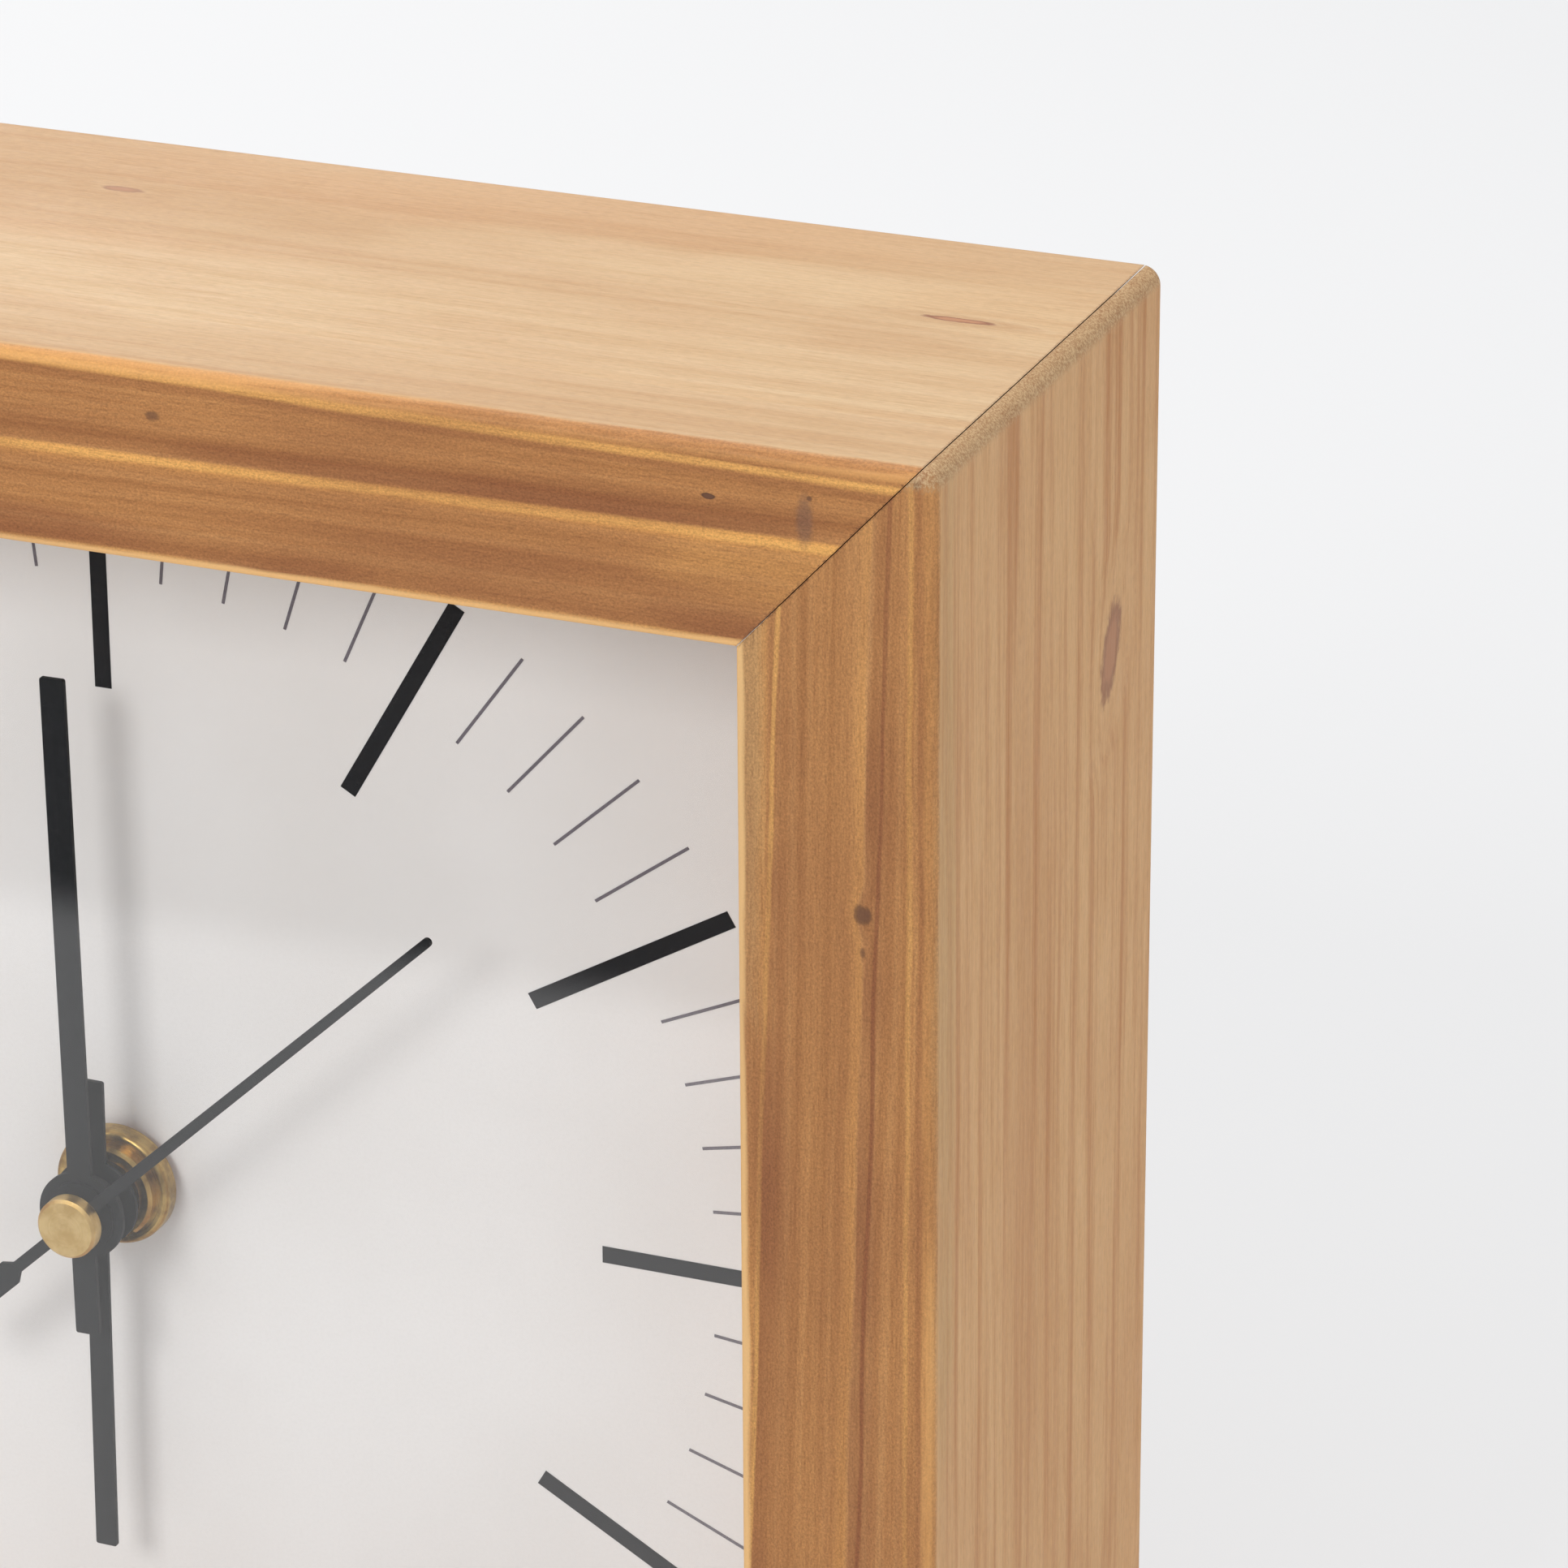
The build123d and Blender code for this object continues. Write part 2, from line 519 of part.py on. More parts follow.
minute_pipe = disc(MINUTE_PIPE_R, minute_front, Y_CENTRE + WHEEL + 0.6)
minute_pipe += gear(CANNON, MOTION_MODULE, Y_MOTION - 0.3, Y_MOTION + WHEEL + 0.2)
minute_pipe -= disc(MINUTE_PIPE_BORE, minute_front - 1, Y_CENTRE + 4)
save_on_axis("minute_pipe", minute_pipe)


def bar_hand(width, tip, tail, hub_r, bore, y0):
    """Straight hand pointing up, with square ends and a round hub."""
    hand = block(-width / 2, width / 2, y0, y0 + HAND, -tail, tip)
    hand += disc(hub_r, y0, y0 + HAND)
    corners = hand.edges().filter_by(Axis.Y)
    ends = [e for e in corners if e.center().Z - MID_Z > tip - 0.1 or MID_Z - e.center().Z > tail - 0.1]
    hand = fillet(ends, 0.25)
    return hand - disc(bore, y0 - 1, y0 + 2)


hour_hand = bar_hand(2.4, 40.4, 13.9, 4.7, HOUR_PIPE_R, hour_front)
save_on_axis("hour_hand", spin(hour_hand, HOUR_ANGLE))
minute_hand = bar_hand(2.7, 59.7, 13.7, 4.8, MINUTE_PIPE_R, minute_front)
collars = (disc(3.8, minute_front - 0.45, minute_front), disc(3.8, minute_front + HAND, hour_front - 1.0))
minute_collar = many(ring - disc(MINUTE_PIPE_R, minute_front - 1, hour_front) for ring in collars)
save_on_axis("minute_hand", spin(minute_hand, MINUTE_ANGLE))
save_on_axis("minute_collar", minute_collar)

SECOND_TIP = 56.0
SECOND_HALF = 0.50      # half width at the tip
SECOND_ROOT = 0.65      # half width at the hub
WEIGHT_START = 9.5
WEIGHT_FULL = 10.6
WEIGHT_END = 22.0
WEIGHT_HALF = 1.4
half_outline = [(SECOND_HALF, SECOND_TIP), (SECOND_ROOT, 0), (SECOND_ROOT, -WEIGHT_START),
                (WEIGHT_HALF, -WEIGHT_FULL), (WEIGHT_HALF, -WEIGHT_END)]
other_half = [(-x, z) for x, z in reversed(half_outline)]
needle = outline(half_outline + other_half, second_front, second_front + HAND)
needle += disc(SECOND_HALF, second_front, second_front + HAND, 0, SECOND_TIP)
needle += disc(2.4, second_front, second_front + HAND)
needle += disc(1.3, second_front + HAND, second_front + 1.5)
needle -= disc(ARBOR_R, second_front - 1, second_front + 3)
save_on_axis("second_hand", spin(needle, SECOND_ANGLE))

cap = disc(3.3, DIAL_Y - CAP_HEIGHT, second_front)
cap = chamfer(cap.edges().sort_by(Axis.Y)[0], 0.3)
save_on_axis("second_hand_cap", cap)

# ---- setting knob ----
KNOB_R = 6.0
knob = disc(1.0, FLOOR + 0.9, MOVT_BACK + 0.4, KNOB_X, 0)
knob += disc(PIVOT_R, FLOOR - 0.6, FLOOR + 1, KNOB_X, 0)
knob += gear(KNOB, MOTION_MODULE, Y_MOTION - 0.2, Y_MOTION + WHEEL + 0.2, KNOB_X, 0, knob_tooth)
knob += disc(KNOB_R, MOVT_BACK + 0.3, MOVT_BACK + 3.3, KNOB_X, 0)
for k in range(20):
    a = radians(18 * k)
    knob -= disc(0.55, MOVT_BACK, MOVT_BACK + 4, KNOB_X + (KNOB_R + 0.2) * cos(a), (KNOB_R + 0.2) * sin(a))
save_on_axis("setting_knob", knob)
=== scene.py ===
import math

import bmesh
import bpy
from mathutils import Matrix, Vector


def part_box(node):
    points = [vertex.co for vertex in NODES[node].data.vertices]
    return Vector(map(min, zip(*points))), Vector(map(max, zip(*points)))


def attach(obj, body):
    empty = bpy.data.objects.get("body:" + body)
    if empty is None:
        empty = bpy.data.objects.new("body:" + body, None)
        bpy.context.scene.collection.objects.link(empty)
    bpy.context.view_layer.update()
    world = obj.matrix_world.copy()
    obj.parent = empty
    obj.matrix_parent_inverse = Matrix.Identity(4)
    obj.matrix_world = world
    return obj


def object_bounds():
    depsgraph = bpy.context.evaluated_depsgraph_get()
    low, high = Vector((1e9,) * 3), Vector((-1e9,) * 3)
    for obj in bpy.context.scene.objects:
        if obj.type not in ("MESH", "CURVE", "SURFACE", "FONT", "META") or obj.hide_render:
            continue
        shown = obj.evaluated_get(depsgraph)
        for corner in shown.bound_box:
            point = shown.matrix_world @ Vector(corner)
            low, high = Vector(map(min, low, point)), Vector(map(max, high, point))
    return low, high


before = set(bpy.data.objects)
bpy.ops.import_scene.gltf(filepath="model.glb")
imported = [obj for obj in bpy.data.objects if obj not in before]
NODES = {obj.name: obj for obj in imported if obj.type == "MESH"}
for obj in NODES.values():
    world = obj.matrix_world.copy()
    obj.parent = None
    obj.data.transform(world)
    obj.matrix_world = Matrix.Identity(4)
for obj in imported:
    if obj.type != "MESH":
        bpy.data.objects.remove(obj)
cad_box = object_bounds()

LOW, HIGH = (Vector(corner) for corner in cad_box)
CENTRE_Z = (LOW.z + HIGH.z) / 2
AXIS_Z = sum(corner[2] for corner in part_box("second_hand_cap")) / 2
MM = 1000.0


# ---------------------------------------------------------------- materials
class Mat:
    """A node material with a Principled shader and short calls for the nodes it needs."""

    def __init__(self, name):
        self.material = bpy.data.materials.new(name)
        self.material.use_nodes = True
        self.tree = self.material.node_tree
        self.tree.nodes.clear()
        self.out = self.node("ShaderNodeOutputMaterial")
        self.bsdf = self.node("ShaderNodeBsdfPrincipled")
        self.tree.links.new(self.bsdf.outputs[0], self.out.inputs["Surface"])
        self._mm = None
        self._axes = None

    def node(self, kind, **values):
        made = self.tree.nodes.new(kind)
        for key, value in values.items():
            setattr(made, key, value)
        return made

    def put(self, socket, value):
        if isinstance(value, bpy.types.NodeSocket):
            self.tree.links.new(value, socket)
        elif value is not None:
            if socket.type == "RGBA" and len(value) == 3:
                value = (*value, 1.0)
            socket.default_value = value

    def set(self, **values):
        for key, value in values.items():
            self.put(self.bsdf.inputs[key.replace("_", " ")], value)
        return self

    def math(self, op, a, b=None):
        made = self.node("ShaderNodeMath", operation=op)
        for socket, value in zip(made.inputs, (a, b)):
            self.put(socket, value)
        return made.outputs[0]

    def add(self, a, b):
        return self.math("ADD", a, b)

    def mul(self, a, b):
        return self.math("MULTIPLY", a, b)

    def sub(self, a, b):
        return self.math("SUBTRACT", a, b)

    def swing(self, noise, amount):
        """A noise from 0 to 1 as a swing of up to half the amount each way."""
        return self.mul(self.sub(noise, 0.5), amount)

    def mm(self):
        """Position in millimetres."""
        if self._mm is None:
            made = self.node("ShaderNodeVectorMath", operation="SCALE")
            self.put(made.inputs[0], self.node("ShaderNodeTexCoord").outputs["Object"])
            made.inputs["Scale"].default_value = MM
            self._mm = made.outputs[0]
        return self._mm

    def axes(self):
        """X, Y and Z in millimetres."""
        if self._axes is None:
            made = self.node("ShaderNodeSeparateXYZ")
            self.put(made.inputs[0], self.mm())
            self._axes = tuple(made.outputs)
        return self._axes

    def vec(self, x, y, z):
        made = self.node("ShaderNodeCombineXYZ")
        for socket, value in zip(made.inputs, (x, y, z)):
            self.put(socket, value)
        return made.outputs[0]

    def stretch(self, vector, scale, move=(0, 0, 0)):
        made = self.node("ShaderNodeMapping")
        self.put(made.inputs["Vector"], vector)
        made.inputs["Scale"].default_value = scale
        made.inputs["Location"].default_value = move
        return made.outputs[0]

    def noise(self, vector, scale=1.0, detail=2.0, rough=0.5, distortion=0.0):
        made = self.node("ShaderNodeTexNoise")
        self.put(made.inputs["Vector"], vector)
        for key, value in (("Scale", scale), ("Detail", detail), ("Roughness", rough),
                           ("Distortion", distortion)):
            made.inputs[key].default_value = value
        return made.outputs["Fac"]

    def span(self, value, low, high, to_low=0.0, to_high=1.0, smooth=True):
        """Value mapped from low..high to to_low..to_high and held at both ends."""
        kind = "SMOOTHSTEP" if smooth else "LINEAR"
        made = self.node("ShaderNodeMapRange", interpolation_type=kind)
        limits = (("From Min", low), ("From Max", high), ("To Min", to_low), ("To Max", to_high))
        for key, number in limits:
            self.put(made.inputs[key], number)
        self.put(made.inputs["Value"], value)
        return made.outputs["Result"]

    def mix(self, factor, a, b, blend="MIX"):
        made = self.node("ShaderNodeMix", data_type="RGBA", blend_type=blend)
        self.put(made.inputs[0], factor)
        self.put(made.inputs[6], a)
        self.put(made.inputs[7], b)
        return made.outputs[2]

    def ramp(self, value, stops):
        """Colour along a ramp of (place, colour) stops."""
        made = self.node("ShaderNodeValToRGB")
        self.put(made.inputs[0], value)
        points = made.color_ramp.elements
        while len(points) < len(stops):
            points.new(0.5)
        for point, (place, colour) in zip(points, stops):
            point.position = place
            point.color = (*colour, 1.0)
        return made.outputs["Color"]

    def ellipsoid(self, vector, centre, size):
        """Distance from centre, 1.0 on the ellipsoid with these half sizes."""
        made = self.node("ShaderNodeVectorMath", operation="LENGTH")
        scale = [1 / part for part in size]
        self.put(made.inputs[0], self.stretch(vector, scale, [-c * k for c, k in zip(centre, scale)]))
        return made.outputs["Value"]

    def bump(self, height, strength, distance):
        made = self.node("ShaderNodeBump")
        made.inputs["Strength"].default_value = strength
        made.inputs["Distance"].default_value = distance
        self.put(made.inputs["Height"], height)
        self.put(self.bsdf.inputs["Normal"], made.outputs["Normal"])
        return self


def srgb(r, g, b):
    """Linear colour from 0-255 display values."""
    def one(c):
        c /= 255.0
        return c / 12.92 if c <= 0.04045 else ((c + 0.055) / 1.055) ** 2.4
    return (one(r), one(g), one(b))


def dress(material, *names):
    """Put a material on CAD nodes, through their objects' slots."""
    for name in names:
        obj = NODES[name]
        for i in range(len(obj.material_slots)):
            obj.material_slots[i].link = "OBJECT"
            obj.material_slots[i].material = material.material


# ---------------------------------------------------------------- wood
FACE = {
    "top": {"run": 0, "cross": 2, "edge": HIGH.z * MM, "sign": -1},
    "bottom": {"run": 0, "cross": 2, "edge": LOW.z * MM, "sign": 1},
    "right": {"run": 2, "cross": 0, "edge": HIGH.x * MM, "sign": -1},
    "left": {"run": 2, "cross": 0, "edge": LOW.x * MM, "sign": 1},
}
RAIL = 20.0     # width of a board's front
LEAN = 1.6      # how far short of the corner a mitre meets the top or bottom face

# Millimetres behind the front, or in from an edge, over which one tone gives way to another.
STAIN_AND_SHADE_END = (0.75, 1.30)
FRONT_END = (0.2, 0.9)
ARRIS_HIGHLIGHT_OUTER = (0.7, 1.7)
ARRIS_HIGHLIGHT_INNER = (0.45, 1.05)
GLUE_LINE = (0.05, 0.36)
SANDED_END = (1.1, 2.3)

# Parts of one growth ring, which goes from 0 to 1.
LATE_RISE = (0.84, 0.985)
LATE_FALL = (0.0, 0.03)
EARLY_RISE = (0.02, 0.05)
EARLY_FALL = (0.05, 0.50)
ABOVE_ZERO = 200.0      # whole rings added, so that the ring count is never negative

TONE_PLACES = (0.28, 0.50, 0.74)
DEEP_TONES = (srgb(160, 107, 60), srgb(180, 126, 74), srgb(194, 142, 88))
PALE_TONES = (srgb(209, 163, 115), srgb(217, 174, 127), srgb(224, 184, 138))


def case_wood(side, seed, pith, line, spacing, slant, knots, stripes, patches, tint, side_light_and_streak,
              late_amount=0.8):
    """Stained pine for one board: run goes along it, v in from its outer face, d back from its front.

    pith is the rings' middle (v, d), line the radius of one dark ring and spacing the rings' pitch.
    knots are (centre, half sizes, darkness, tilt); stripes are lines along the front, (v at run 0, slope,
    half width, tone, amount); patches are (centre, half sizes, tone, amount). tint is for the front, whose
    deeper tone is partly stain and partly painted shade; side_light_and_streak is the other faces' tint,
    which paints light and shade on the top rail and the right stile, and how strongly they are streaked, and
    late_amount is how strongly the late rings show on the front.
    """
    m = Mat("case_wood_" + side)
    place = FACE[side]
    axes = m.axes()
    run = axes[place["run"]]
    v = m.mul(m.sub(axes[place["cross"]], place["edge"]), place["sign"])
    d = m.sub(axes[1], LOW.y * MM)
    here = m.vec(run, v, d)

    def grain(at, scale, shift, detail, rough):
        return m.noise(m.stretch(at, scale, (seed + shift[0], shift[1], 0)), 1.0, detail, rough)

    rough_edge = grain(here, (0.12, 1.2, 1.2), (2, 0), 3.0, 0.6)
    front = m.span(m.add(d, m.swing(rough_edge, 0.9)), *STAIN_AND_SHADE_END, 1.0, 0.0)
    on_front = m.span(d, *FRONT_END, 1.0, 0.0)

    # Growth rings about a pith that lies below the board, nearly along it.
    wander = grain(here, (0.008, 0.02, 0.02), (0, 0), 1.0, 0.5)
    ripple = grain(here, (0.05, 0.3, 0.3), (7, 0), 2.0, 0.5)
    wander = m.add(m.swing(wander, 2.2), m.swing(ripple, 0.55))
    ragged = grain(here, (0.6, 1.6, 1.0), (1, 2), 3.0, 0.6)
    knot_dark = 0.0
    knot_core = 0.0
    for centre, size, dark, tilt in knots:
        leaning = m.vec(run, v, m.sub(d, m.mul(m.sub(run, centre[0]), tilt)))
        far = m.ellipsoid(leaning, centre, size)
        far = m.add(far, m.swing(ragged, 0.9))
        wander = m.add(wander, m.span(far, 0.7, 3.4, size[1] * 0.5, 0.0))
        knot_dark = m.math("MAXIMUM", knot_dark, m.mul(m.span(far, 0.80, 1.25, 1.0, 0.0), dark))
        knot_core = m.math("MAXIMUM", knot_core, m.mul(m.span(far, 0.45, 0.95, 1.0, 0.0), dark))
    across = m.sub(m.add(v, m.mul(run, slant)), pith[0])
    behind = m.sub(d, pith[1])
    radius = m.math("SQRT", m.add(m.mul(across, across), m.mul(behind, behind)))
    radius = m.add(radius, wander)
    rings = m.math("DIVIDE", m.sub(radius, line), spacing)
    turn = m.math("FRACT", m.add(rings, ABOVE_ZERO))
    late = m.mul(m.span(turn, *LATE_RISE), m.span(turn, *LATE_RISE, 0.9, 1.0))
    late = m.add(late, m.span(turn, *LATE_FALL, 1.0, 0.0))
    late = m.math("MINIMUM", late, 1.0)
    early = m.mul(m.span(turn, *EARLY_RISE), m.span(turn, *EARLY_FALL, 1.0, 0.0))

    rings_at = m.vec(m.mul(run, 0.006), radius, m.mul(v, 0.02))
    fine = grain(rings_at, (1, 0.85, 1), (0, 3), 4.0, 0.60)
    drift_at = m.vec(m.mul(run, 0.007), m.add(v, m.mul(wander, 0.8)), m.add(d, m.mul(wander, 1.3)))
    streak = grain(drift_at, (1, 0.42, 0.42), (0, 5), 5.0, 0.66)
    fibre = grain(here, (0.16, 3.4, 3.4), (0, 1), 3.0, 0.65)
    dash = grain(here, (0.55, 4.6, 4.6), (0, 8), 2.0, 0.55)
    blotch = grain(here, (0.030, 0.09, 0.09), (3, 0), 3.0, 0.55)
    speck = grain(here, (3.4, 4.6, 4.6), (0, 0), 3.0, 0.75)
    dust = grain(here, (0.9, 2.6, 2.6), (0, 9), 3.0, 0.6)
    pace = grain(here, (0.04, 0.05, 0.05), (5, 0), 2.0, 0.5)

    # Deep tones on the front and pale ones on the other faces: partly the front's stain, and partly painted
    # shade on the less lit front with painted light and sheen on the top.
    deep = m.ramp(fine, list(zip(TONE_PLACES, DEEP_TONES)))
    pale = m.ramp(fine, list(zip(TONE_PLACES, PALE_TONES)))
    colour = m.mix(front, pale, deep)

    # The stain stays off the hard late rings and soaks into the soft wood beside them.
    late_tone = m.mix(front, srgb(214, 160, 106), srgb(224, 162, 86))
    early_tone = m.mix(front, srgb(196, 144, 98), srgb(134, 80, 48))
    early = m.mul(m.mul(early, m.span(pace, 0.35, 0.62, 0.10, 0.62)), m.span(front, 0, 1, 0.5, 1.0))
    colour = m.mix(early, colour, early_tone)
    late_share = m.mul(m.span(front, 0, 1, 0.22, late_amount), m.span(pace, 0.3, 0.6, 0.55, 1.0))
    colour = m.mix(m.mul(late, late_share), colour, late_tone)
    for start, drift, width, tone, amount in stripes:
        off = m.sub(m.add(v, m.swing(ripple, 0.9)), m.add(m.mul(run, drift), start))
        off = m.math("ABSOLUTE", off)
        mask = m.span(off, width * 0.25, width, 1.0, 0.0)
        mask = m.mul(mask, m.span(streak, 0.35, 0.55, 0.65, 1.0))
        colour = m.mix(m.mul(m.mul(mask, on_front), amount), colour, tone)
    for centre, size, tone, amount in patches:
        far = m.add(m.ellipsoid(here, centre, size), m.swing(blotch, 1.2))
        far = m.add(far, m.swing(fibre, 0.7))
        colour = m.mix(m.span(far, 0.35, 1.1, amount, 0.0), colour, tone)
    colour = m.mix(m.span(blotch, 0.42, 0.72, 0.0, 0.38), colour,
                   m.mix(front, srgb(204, 154, 108), srgb(140, 88, 54)))
    side_streak = m.span(streak, 0.44, 0.70, 0.0, side_light_and_streak[1])
    colour = m.mix(m.mul(side_streak, m.span(front, 0, 1, 1.0, 0.35)), colour,
                   m.mix(front, srgb(178, 112, 50), srgb(140, 88, 52)))
    colour = m.mix(m.span(fibre, 0.46, 0.74, 0.0, 0.26), colour,
                   m.mix(front, srgb(176, 128, 86), srgb(120, 74, 42)))
    dashes = m.mul(m.span(dash, 0.55, 0.72), m.span(front, 0, 1, 0.14, 0.26))
    colour = m.mix(dashes, colour, srgb(118, 72, 44))

    # Fine sanded grain, strongest on the stained front.
    light = m.span(m.span(front, 0, 1, 0.5, speck), 0.30, 0.70, 0.70, 1.28, smooth=False)
    shade = m.span(dust, 0.30, 0.70, 0.93, 1.06, smooth=False)
    light = m.mul(light, shade)
    colour = m.mix(1.0, colour, m.vec(light, light, light), "MULTIPLY")

    # Yellow bands along the outer and inner arrises: painted highlights where the rounded edges catch the
    # light.
    arris_wobble = grain(here, (0.05, 0.5, 0.5), (11, 0), 3.0, 0.6)
    outer_arris_highlight = m.span(m.add(m.add(v, d), m.swing(arris_wobble, 1.6)), *ARRIS_HIGHLIGHT_OUTER, 1.0, 0.0)
    inner_arris_highlight = m.span(m.add(m.add(m.sub(RAIL, v), d), m.swing(arris_wobble, 1.0)), *ARRIS_HIGHLIGHT_INNER, 1.0, 0.0)
    outer_arris_highlight = m.mul(outer_arris_highlight, m.span(streak, 0.42, 0.62, 0.10, 0.60))
    colour = m.mix(outer_arris_highlight, colour, srgb(222, 166, 100))
    colour = m.mix(m.mul(inner_arris_highlight, 0.75), colour, srgb(234, 190, 130))
    # The other faces' tint is painted light and shade: a cooler top on the top rail, and a darker, warmer
    # side on the right stile.
    colour = m.mix(1.0, colour, m.mix(front, side_light_and_streak[0], tint), "MULTIPLY")

    rim_tone = m.mix(front, srgb(132, 78, 52), srgb(84, 56, 42))
    core_tone = m.mix(front, srgb(184, 130, 92), srgb(110, 74, 54))
    colour = m.mix(m.mul(knot_dark, 0.78), colour, rim_tone)
    colour = m.mix(m.mul(knot_core, 0.75), colour, core_tone)

    # Glue and dust along the mitres.
    upright = place["run"] == 2
    mid = CENTRE_Z * MM if upright else 0.0
    reach = m.sub(HIGH.x * MM, m.math("ABSOLUTE", m.sub(run, mid)))
    near, far = (v, reach) if upright else (reach, v)
    gap = m.sub(m.sub(near, far), m.mul(m.sub(RAIL, far), LEAN / RAIL))
    gap = m.add(m.math("ABSOLUTE", gap), m.swing(speck, 0.9))
    glue = m.span(gap, *GLUE_LINE, m.span(dust, 0.40, 0.60, 0.1, 0.6), 0.0)
    colour = m.mix(glue, colour, srgb(92, 56, 34))

    if upright:
        # The board's sanded end shows on the rounding of the corner.
        past = m.add(reach, m.swing(speck, 1.6))
        end_tone = m.mix(m.span(speck, 0.36, 0.62), srgb(208, 178, 136), srgb(150, 112, 76))
        colour = m.mix(m.span(past, *SANDED_END, 0.75, 0.0), colour, end_tone)
    m.set(Base_Color=colour, Roughness=m.span(fibre, 0.3, 0.7, 0.46, 0.60), Specular_IOR_Level=0.32)
    height = m.add(m.mul(fibre, 0.6), m.add(m.mul(speck, 0.4), m.mul(late, 0.25)))
    return m.bump(height, 0.35, 0.00012)


# ---------------------------------------------------------------- boards
RUST = srgb(128, 72, 44)
AMBER = srgb(232, 176, 98)
PEACH = srgb(210, 158, 110)
TAN = srgb(194, 142, 92)
GREY = srgb(110, 84, 72)
KHAKI = srgb(186, 152, 104)
PLAIN = (1.0, 1.0, 1.0)
BOARDS = {
    "top": ("frame_rail_top", dict(
        seed=4.0, pith=(61.2, 45), line=68.5, spacing=7.8, slant=0.009,
        knots=[((20.2, 5.0, 0), (0.75, 0.48, 2.0), 0.6, 0.0), ((77.4, 5.3, 0), (0.65, 0.28, 2.5), 1.2, 0.0),
               ((87.0, 0, 40.0), (3.6, 3.0, 0.55), 1.25, 0.0), ((-6.4, 0, 46.8), (2.2, 3.0, 0.7), 0.8, 0.0),
               ((87.5, 4.2, 0), (0.3, 0.25, 1.0), 0.7, 0.0), ((98.3, 0.9, 0.8), (0.6, 0.5, 0.6), 1.1, 0.0)],
        stripes=[(0.8, 0.016, 0.7, AMBER, 0.85), (1.7, 0.014, 0.8, RUST, 0.30),
                 (9.7, -0.009, 0.7, AMBER, 0.75), (19.3, 0.002, 0.5, AMBER, 0.5)],
        patches=[((50, 8.0, 0), (36, 1.7, 1.5), RUST, 0.42), ((2, 17.6, 0), (20, 2.4, 1.5), RUST, 0.50),
                 ((87, 6.4, 0), (0.9, 3.0, 1.0), GREY, 0.55), ((55, 14.5, 0), (30, 2.5, 1.5), RUST, 0.28),
                 ((-30, 0, 52), (85, 2.0, 24), TAN, 0.72), ((40, 0, 58), (60, 2.0, 11), PEACH, 0.70),
                 ((30, 0, 4), (90, 2.0, 6), TAN, 0.50), ((-20, 0, 33), (50, 2.0, 4), PEACH, 0.45),
                 ((84, 13.0, 0), (16, 5.0, 1.5), AMBER, 0.26)],
        tint=(1.06, 1.03, 1.0), side_light_and_streak=((0.91, 1.01, 1.10), 0.26))),
    "right": ("frame_stile_right", dict(
        seed=17.0, pith=(66, 48), line=72.3, spacing=7.1, slant=0.031,
        knots=[((154.8, 7.3, 0), (1.0, 0.9, 3.0), 0.8, 0.0), ((150.9, 7.3, 0), (0.5, 0.25, 1.2), 0.5, 0.0),
               ((164.2, 0, 48.6), (4.9, 3.0, 2.4), 1.0, 0.26),
               ((198.6, 1.9, 0.6), (0.6, 0.5, 0.7), 1.1, 0.0)],
        stripes=[(10.6, -0.031, 0.35, RUST, 0.75), (3.3, -0.004, 0.4, AMBER, 0.35),
                 (1.5, 0.0, 0.5, RUST, 0.35), (22.2, -0.035, 0.35, AMBER, 0.55)],
        patches=[((128, 17.4, 0), (22, 2.6, 1.5), RUST, 0.42), ((60, 18.5, 0), (30, 1.6, 1.5), RUST, 0.30),
                 ((170, 18.6, 0), (40, 1.8, 1.5), KHAKI, 0.45), ((140, 0, 3.2), (90, 2.0, 3.0), KHAKI, 0.45),
                 ((120, 0, 26), (60, 2.0, 9), TAN, 0.40), ((130, 8.5, 0), (36, 3.2, 1.5), RUST, 0.14)],
        tint=(1.06, 1.07, 1.08), side_light_and_streak=((0.95, 0.90, 0.78), 0.70), late_amount=0.28)),
    "bottom": ("frame_rail_bottom", dict(
        seed=31.0, pith=(58, 40), line=66.0, spacing=6.9, slant=-0.006,
        knots=[((-40, 6.0, 0), (1.4, 1.0, 2.5), 0.6, 0.0), ((30, 0, 30), (5.0, 3.0, 1.6), 0.6, 0.0)],
        stripes=[(16.0, 0.004, 0.6, AMBER, 0.5)],
        patches=[((30, 5.0, 0), (40, 2.0, 1.5), RUST, 0.35)],
        tint=PLAIN, side_light_and_streak=(PLAIN, 0.4))),
    "left": ("frame_stile_left", dict(
        seed=43.0, pith=(64, 20), line=61.0, spacing=6.2, slant=-0.02,
        knots=[((60, 12.0, 0), (1.5, 1.2, 2.5), 0.6, 0.0), ((120, 0, 22), (4.6, 3.0, 1.7), 0.7, 0.0)],
        stripes=[(3.0, 0.010, 0.7, AMBER, 0.4)],
        patches=[((150, 6.0, 0), (30, 2.0, 1.5), RUST, 0.35)],
        tint=PLAIN, side_light_and_streak=(PLAIN, 0.55))),
}
for side, (node, look) in BOARDS.items():
    dress(case_wood(side, **look), node)


def plain_wood(name, run, tones, seed):
    """Bare softwood with its grain along one axis (0 is X, 2 is Z)."""
    m = Mat(name)
    scale = [2.4, 2.4, 2.4]
    scale[run] = 0.05
    grain = m.noise(m.stretch(m.mm(), scale, (seed, 0, 0)), 1.0, 4.0, 0.6)
    m.set(Base_Color=m.ramp(grain, [(0.3, tones[0]), (0.7, tones[1])]), Roughness=0.72)
    return m.bump(grain, 0.4, 0.0001)


PALE = (srgb(182, 148, 104), srgb(222, 194, 150))
dress(plain_wood("batten_wood_across", 0, PALE, 3.0), "batten_top", "batten_bottom")
dress(plain_wood("batten_wood_upright", 2, PALE, 9.0), "batten_left", "batten_right")

